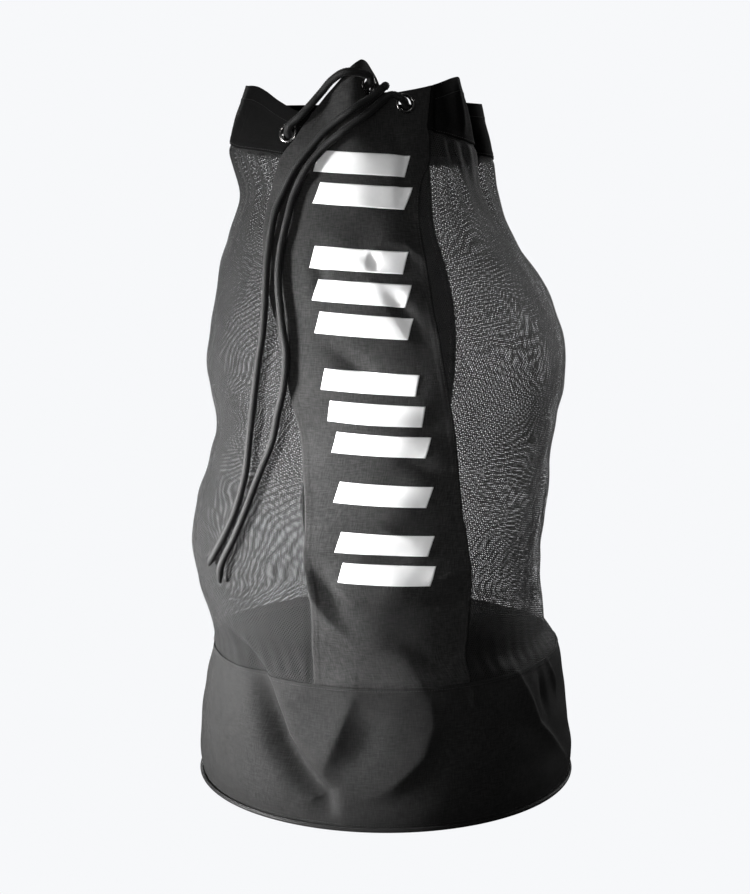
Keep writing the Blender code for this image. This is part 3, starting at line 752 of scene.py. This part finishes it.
def build_collar(side, material):
    """Half of the collar: its front edge lies under the front panel."""
    if side == "left":
        low, high = level(-180), moved(edge(FRONT_EDGES, 1), FLAP_ANGLE)
    else:
        low, high = moved(edge(FRONT_EDGES, 2), -FLAP_ANGLE), level(180)
    bearing, height = settle(COLLAR_GRID, low, high, moved(collar_edge, -COLLAR_LAP), rim)
    from_front = high(height) - bearing if side == "left" else bearing - low(height)
    under = 1 - smooth(FLAP_ANGLE + 0.2, FLAP_ANGLE + 1.8, from_front)
    out = hem(rim(bearing) - height, RIM_HEM) + hem(height - collar_edge(bearing) + COLLAR_LAP)
    own = [e for e in EYELETS if e[0] not in ON_FRONT_PANEL and (e[1] < 0) == (side == "left")]
    out = out * (1 - under) - TUCK * under
    made = fabric_piece("collar_cloth_" + side, bearing, height, out, material, eyelets=own)
    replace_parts(made, "collar_" + side)
    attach(made, "mouth")


def build_base_wall(material):
    foot, top, columns = 0.0052, WALL_SEAM + 0.003, 720
    hemmed = WALL_SEAM - 0.012
    rows = np.concatenate([np.linspace(foot, hemmed, 86), np.linspace(hemmed, top, 13)[1:]])
    bearing = np.repeat(np.linspace(-180, 180, columns, endpoint=False)[None], len(rows), 0)
    height = np.repeat(rows[:, None], columns, 1)
    out = hem(top - height, 0.006) + hem(height - foot)
    made = fabric_piece("base_wall_cloth", bearing, height, out, material, ring=True)
    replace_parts(made, "base_wall")
    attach(made, "base")


def build_base_panel(material):
    """The round bottom, flat where it stands and slack on its upper side."""
    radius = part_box("base_panel")[1].x
    rings, spokes = 60, 160
    reach = np.linspace(0.004, radius, rings)[:, None]
    angle = angles(spokes)[None]
    wave = 0.0004 * (1 + np.sin(9 * angle + 30 * reach)) * smooth(0.05, 0.25, reach)
    rise = FABRIC + wave * (1 - smooth(radius - 0.012, radius, reach))
    points = np.stack([reach * np.sin(angle), -reach * np.cos(angle), rise + 0 * angle], -1).reshape(-1, 3)
    faces = [face[::-1] for face in grid_faces(rings, spokes, ring=True)[0].tolist()]
    faces.append(list(range(spokes))[::-1])
    uv = np.concatenate([points[face][:, :2] for face in faces])
    made = add_object("base_panel_cloth", points, faces, material, uv)
    thicken(made, FABRIC)
    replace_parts(made, "base_panel")
    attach(made, "base")


def lathe(name, profile, steps, material):
    """A turned ring about +Z from a closed profile of (radius, height) points."""
    angle = angles(steps)
    radius, height = np.array(profile).T
    radius, height = radius[:, None], height[:, None]
    points = np.stack([radius * np.cos(angle), radius * np.sin(angle), height + 0 * angle], -1)
    faces = grid_faces(len(profile) + 1, steps, ring=True)[0]
    return add_object(name, points, (faces % (len(profile) * steps)).tolist(), material)


def circle(centre_radius, centre_height, radius, count):
    """Profile of a ring with a round section."""
    turns = angles(count)
    return [(centre_radius + radius * math.cos(a), centre_height + radius * math.sin(a)) for a in turns]


def build_piping(material, thread):
    """The bound cord round the bottom edge, and the thread that holds it."""
    low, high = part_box("base_piping")
    radius = (high.z - low.z) / 2
    middle, height = high.x - radius, (high.z + low.z) / 2
    made = lathe("piping", circle(middle, height, radius, 20), 420, material)
    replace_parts(made, "base_piping")
    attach(made, "base")
    tilt = math.radians(60)
    seam = circle(middle + radius * math.cos(tilt), height + radius * math.sin(tilt), 0.0006, 8)
    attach(lathe("piping_seam", seam, 420, thread), "base")


# ---- eyelets
def rounded(corners, radius, steps=3):
    """A closed outline with each corner cut by a short arc."""
    outline = []
    for i, corner in enumerate(corners):
        here, before, after = np.array([corner, corners[i - 1], corners[(i + 1) % len(corners)]])
        cut = min(radius, np.linalg.norm(before - here) / 2.2, np.linalg.norm(after - here) / 2.2)
        a, b = here + unit(before - here) * cut, here + unit(after - here) * cut
        for t in np.linspace(0, 1, steps):
            outline.append(tuple((1 - t) ** 2 * a + 2 * t * (1 - t) * here + t**2 * b))
    return outline


def build_eyelets(metal):
    """Bright flanges with their barrels rolled over a washer behind the cloth."""
    flange = rounded([
        (0.0135, 0.0004), (0.0102, 0.0004), (0.0102, -0.0042), (0.0121, -0.0042), (0.0118, -0.0052),
        (0.01, -0.0054), (0.0095, -0.0044), (0.0095, 0.0008), (0.0102, 0.0019), (0.0124, 0.0019),
        (0.0135, 0.001),
    ], 0.0008)
    washer = rounded([(0.0128, -0.003), (0.0128, -0.0038), (0.0106, -0.0038), (0.0106, -0.003)], 0.0003)
    for name, bearing, height, _ in EYELETS:
        east, up, normal = frame_at(bearing, height)
        for kind, profile in (("eyelet_", flange), ("washer_", washer)):
            ring = lathe(kind + name + "_plated", profile[::-1], 64, metal)
            place = np.array([v.co for v in ring.data.vertices])
            there = place @ np.stack([east, up, normal]) + skin(bearing, height)
            ring.data.vertices.foreach_set("co", there.astype(np.float32).ravel())
            ring.data.update()
            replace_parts(ring, kind + name)
            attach(ring, "mouth")


# ---- the drawcord
def through_eyelet(bearing, height, heading, outwards):
    """Points of the cord as it dives through an eyelet, towards smaller bearings."""
    east, up, normal = frame_at(bearing, height)
    tilt = math.radians(heading)
    way = -east * math.cos(tilt) + up * math.sin(tilt)
    centre = skin(bearing, height) - normal * CLOTH / 2
    lift = normal * (TRAVEL_OFFSET if outwards else -TRAVEL_OFFSET)
    return [centre + way * s + lift * math.tanh(s / CROSSING) for s in CROSSING_STEPS]


def smooth_line(route, spacing):
    """A smooth curve through the route's points, and where those points are in it."""
    ends = [route[0] * 2 - route[1]] + list(route) + [route[-1] * 2 - route[-2]]
    points, own = [], []
    for a, b, c, d in zip(ends, ends[1:], ends[2:], ends[3:]):
        own.append(len(points))
        pieces = max(round(float(np.linalg.norm(c - b)) / spacing), 1)
        for t in np.arange(pieces) / pieces:
            points.append(0.5 * (2 * b + (c - a) * t + (2 * a - 5 * b + 4 * c - d) * t**2
                                 + (3 * b - a - 3 * c + d) * t**3))
    own.append(len(points))
    points.append(route[-1])
    return np.array(points), own


def cord_route():
    """The cord's route: up the left tail, round the rim, down the right tail."""
    def tail(rows):
        points = []
        for x, height, *own in rows:
            out = own[0] if own else TAIL_OFF if height > TAIL_LOW else TAIL_OFF_LOW
            points.append(off_skin(bearing_of(x, height), height, out))
        return points

    left = tail(LEFT_TAIL)[::-1]
    laced = [off_skin(*step) for step in RIM_START]
    outwards = True
    for name, bearing, height, heading in EYELETS:
        laced += through_eyelet(bearing, height, heading, outwards)
        laced += [off_skin(*step) for step in SPANS.get(name, ())]
        outwards = not outwards
    laced += [off_skin(*step) for step in RIM_END]
    return left + laced + tail(RIGHT_TAIL), len(left), len(left) + len(laced)


def distance_along(points):
    return np.concatenate([[0], np.cumsum(np.linalg.norm(np.diff(points, axis=0), axis=1))])


def sampled(at, run, points):
    """Points of a line at given distances along it."""
    return np.stack([np.interp(at, run, points[:, k]) for k in range(3)], -1)


def even_line(points, step):
    """The same line with points at even distances."""
    run = distance_along(points)
    return sampled(np.linspace(0, run[-1], max(int(round(run[-1] / step)), 2) + 1), run, points)


def braid_height(turns, run):
    """Height of a diamond braid, 0 to 1, at an angle in turns and a distance along the cord."""
    one, two = STRANDS * (turns + run / BRAID_PITCH), STRANDS * (turns - run / BRAID_PITCH)
    over = (np.floor(one) + np.floor(two)) % 2 < 1

    def strand(across, down):
        return np.sin(math.pi * (across % 1)) ** 0.7 * (0.55 + 0.45 * np.sin(math.pi * (down % 1)))

    return np.where(over, strand(one, two), strand(two, one))


def rope(name, line, run, material, tip=None):
    """A tube whose surface carries the braid's strands. A tip is melted to a smooth point."""
    tangent = unit(np.gradient(line, axis=0))
    side = [unit(np.cross(tangent[0], (0, 0.3, 1)))]
    for way in tangent[1:]:
        side.append(unit(side[-1] - way * np.dot(side[-1], way)))
    side = np.array(side)
    other = np.cross(tangent, side)
    turns = np.linspace(0, 1, CORD_SIDES, endpoint=False)[None]
    angle = turns * 2 * math.pi
    radius = CORD_RADIUS * (0.76 + 0.32 * braid_height(turns, run[:, None]))
    if tip:
        left = run[-1] - run if tip == "end" else run - run[0]
        melted = (1 - smooth(*TIP_MELT, left))[:, None]
        point = 0.42 + 0.58 * np.sqrt(smooth(*TIP_POINT, left))[:, None]
        radius = (radius * (1 - melted) + CORD_RADIUS * 0.95 * melted) * point
    ring = side[:, None] * np.cos(angle)[..., None] + other[:, None] * np.sin(angle)[..., None]
    points = line[:, None] + ring * radius[..., None]
    faces, row, column = grid_faces(len(line), CORD_SIDES, ring=True)
    uv = np.stack([column * STRANDS / CORD_SIDES, run[row] * STRANDS / BRAID_PITCH], -1).reshape(-1, 2)
    first = np.arange(CORD_SIDES)
    faces = faces.tolist() + [first[::-1].tolist(), (first + (len(line) - 1) * CORD_SIDES).tolist()]
    uv = np.concatenate([uv, np.zeros((2 * CORD_SIDES, 2))])
    made = add_object(name, points, faces, material, uv)
    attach(made, "mouth")
    return made


def build_cord(material):
    """The drawcord's three stretches share one braid."""
    route, first, last = cord_route()
    coarse, own = smooth_line(route, CORD_POINT_SPACING)
    cuts = [(coarse[own[i]] + coarse[own[i] + 1]) / 2 for i in (first - 1, last - 1)]
    fine = even_line(smooth_line(route, 0.001)[0], CORD_STEP)
    run = distance_along(fine)
    a, b = (int(np.argmin(np.linalg.norm(fine - cut, axis=1))) for cut in cuts)
    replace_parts(rope("cord_laced", fine[a:b + 1], run[a:b + 1], material), "drawcord_rim")
    tails = ("left", slice(a + 1), "start", -1), ("right", slice(b, None), "end", 1)
    for side, stretch, tip, onwards in tails:
        made = rope("cord_tail_" + side, fine[stretch], run[stretch], material, tip)
        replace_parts(made, "drawcord_tail_" + side)


# ---- stitching
def stitch_row(bearing, height):
    """Centres, directions and normals of stitches along a line on the cloth."""
    points = cloth(bearing, height, HEM_RISE)
    normal = frame_at(bearing, height)[2]
    run = distance_along(points)
    at = np.arange(STITCH_STEP / 2, run[-1], STITCH_STEP)
    ahead, behind = (sampled(at + shift, run, points) for shift in (0.001, -0.001))
    return sampled(at, run, points), unit(ahead - behind), unit(sampled(at, run, normal))


def stitches(name, rows, material):
    """All stitches of some rows as one piece. Each dips into the cloth at both ends."""
    rings, sides = 5, 6
    share = np.linspace(-1, 1, rings)
    thin = np.sqrt(np.maximum(1 - share**4, 0.06))
    centre, way, lift = (np.concatenate([row[k] for row in rows])[:, None, None] for k in range(3))
    across = np.cross(way, lift)
    angle = angles(sides)
    run = share[:, None, None] * STITCH_LENGTH / 2
    bow = 0.0004 * (1 - share**2)[:, None, None] - 0.0002
    wide = (STITCH_RADIUS * thin)[:, None, None]
    a, b = np.cos(angle)[None, :, None], np.sin(angle)[None, :, None]
    points = centre + way * run + lift * (bow + wide * b) + across * wide * a
    one = grid_faces(rings, sides, ring=True)[0]
    offset = (np.arange(len(centre)) * rings * sides)[:, None, None]
    walls = (one[None] + offset).reshape(-1, 4).tolist()
    first = np.arange(sides)[::-1]
    last = first[::-1] + (rings - 1) * sides
    caps = np.concatenate([first[None] + offset[:, 0], last[None] + offset[:, 0]]).tolist()
    return add_object(name, points, walls + caps, material)


def build_stitching(thread):
    around = np.linspace(-180, 180, 1400)
    base = [stitch_row(around, np.full_like(around, height)) for height in BASE_STITCHES]
    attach(stitches("stitches_base", base, thread), "base")

    inset = math.degrees(STITCH_INSET / MEAN_RADIUS)
    tall = []
    for table, top, count in ((FRONT_EDGES, 0.93, 760), (BACK_EDGES, 0.86, 700)):
        height = np.linspace(WALL_SEAM + 0.008, top, count)
        for column, aside in ((1, inset), (2, -inset)):
            tall.append(stitch_row(along(table, height, column) + aside, height))
    bend_with_slide(stitches("stitches_panels", tall, thread))

    rows = []
    for start, end in COLLAR_STITCHES:
        bearing = np.linspace(start, end, 900)
        rows.append(stitch_row(bearing, collar_edge(bearing) - 0.001))
    for start, end in RIM_STITCHES:
        bearing = np.linspace(start, end, 900)
        row = stitch_row(bearing, rim(bearing) - RIM_STITCH)
        clear = clear_of_eyelets(rough_bearing(row[0]), row[0][:, 2]) > 0.45
        rows.append(tuple(field[clear] for field in row))
    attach(stitches("stitches_mouth", rows, thread), "mouth")


def rough_bearing(points):
    """Bearings of points near the rim, seen from the middle of the mouth."""
    middle = (along(STATIONS, 0.95, 1) + along(STATIONS, 0.95, 2)) / 2
    return np.degrees(np.arctan2(points[:, 0] - middle, -points[:, 1]))


# ---- the print
def build_print(material):
    """Plain slanted bars on the front panel."""
    parts, faces, uvs, count = [], [], [], 0
    rows, columns = BAR_GRID
    numbers, row, column = grid_faces(rows, columns)
    for middle in PRINT_BARS:
        u = np.linspace(-0.5, 0.5, columns)[None] * PRINT_WIDTH
        v = np.linspace(-0.5, 0.5, rows)[:, None] * PRINT_THICK
        x = u + PRINT_LEAN * v
        height = middle + v + PRINT_SLANT * x
        radius = (along(STATIONS, height, 2) - along(STATIONS, height, 1)) / 2
        bearing = along(PRINT_MIDDLE, height) + np.degrees(x / radius)
        parts.append(cloth(bearing, height, PRINT_RISE))
        faces.append(numbers + count)
        uvs.append(np.stack([arc_of(bearing), height], -1)[row, column])
        count += rows * columns
    made = add_object("front_print", np.concatenate(parts), np.concatenate(faces).tolist(), material,
                      np.concatenate(uvs))
    thicken(made, INK)
    bend_with_slide(made)


# ---- light, floor, camera
BACKDROP = (0.930, 0.939, 0.956, 1)


def area_light(name, place, aim, size, power, spread=180):
    """A soft box; a spread under 180 degrees narrows it like a grid."""
    light = bpy.data.lights.new(name, "AREA")
    light.shape = "RECTANGLE"
    light.size, light.size_y = size
    light.energy = power
    light.spread = math.radians(spread)
    made = linked(name, light)
    made.location = place
    made.rotation_mode = "QUATERNION"
    made.rotation_quaternion = (Vector(aim) - Vector(place)).to_track_quat("-Z", "Y")


def build_studio():
    """A pale floor and backdrop of one tone, five soft lights and the camera."""
    scene = bpy.context.scene
    scene.view_settings.view_transform = "Standard"
    floor_mesh = bpy.data.meshes.new("floor")
    half = 30
    corners = [(-half, -half, 0), (half, -half, 0), (half, half, 0), (-half, half, 0)]
    floor_mesh.from_pydata(corners, [], [(0, 1, 2, 3)])
    floor = linked("floor", floor_mesh)
    g = Graph("pale_floor")
    g.set(Base_Color=grey(0), Roughness=1, Specular_IOR_Level=0, Emission_Color=BACKDROP)
    g.set(Emission_Strength=g.node("LightPath").outputs["Is Camera Ray"])
    floor_mesh.materials.append(g.owner)

    g = Graph("studio", bpy.data.worlds, "Background")
    scene.world = g.owner
    g.set(Color=BACKDROP, Strength=g.grade(g.node("LightPath").outputs["Is Camera Ray"], 0.03, 1))

    area_light("key", (-2.5, -0.70, 0.40), (0, -0.10, 0.38), (0.7, 0.40), 18, 31)
    area_light("fill", (-0.8, -3.2, 0.6), (0, 0, 0.45), (0.8, 0.8), 1.9, 34)
    area_light("top", (0.1, -1, 2.9), (0, 0, 0.7), (1.2, 1.2), 4)
    area_light("side", (2.2, 1.9, 1.2), (0, 0, 0.5), (1, 1.6), 28)
    area_light("back", (-0.3, 3.2, 1.5), (0, 0, 0.5), (1.8, 1.8), 70)

    data = bpy.data.cameras.new("camera")
    data.lens = CAMERA_LENS
    data.sensor_width = 36
    camera = linked("camera", data)
    camera.location = CAMERA_PLACE
    camera.rotation_euler = (math.radians(90 - CAMERA_PITCH), 0, 0)
    scene.camera = camera


def main():
    coated = woven("coated_polyester", 0.010, 0.03)
    front = woven("front_polyester", 0.018, 0.04)
    # the collar's cloth is the walls' weave made much darker to stand in for the shade on the collar:
    # painted shade
    band = woven("collar_polyester", 0.0028, 0, 0.8, 0.07)
    trim = woven("piping_cloth", 0.014, 0.03, 0.5)
    net = netting("knitted_net", 0.009)
    ink = printed("white_ink")
    cord = braided("braided_polyester", 0.005)
    nickel = plated("nickel_plate", 0.36)
    thread = threaded("black_thread", 0.012)
    build_studio()
    build_cord(cord)
    build_eyelets(nickel)
    build_base_panel(coated)
    build_base_wall(coated)
    build_piping(trim, thread)
    build_front_panel(front)
    build_back_panel(coated)
    build_net("left", net)
    build_net("right", net)
    build_collar("left", band)
    build_collar("right", band)
    build_print(ink)
    build_stitching(thread)


main()
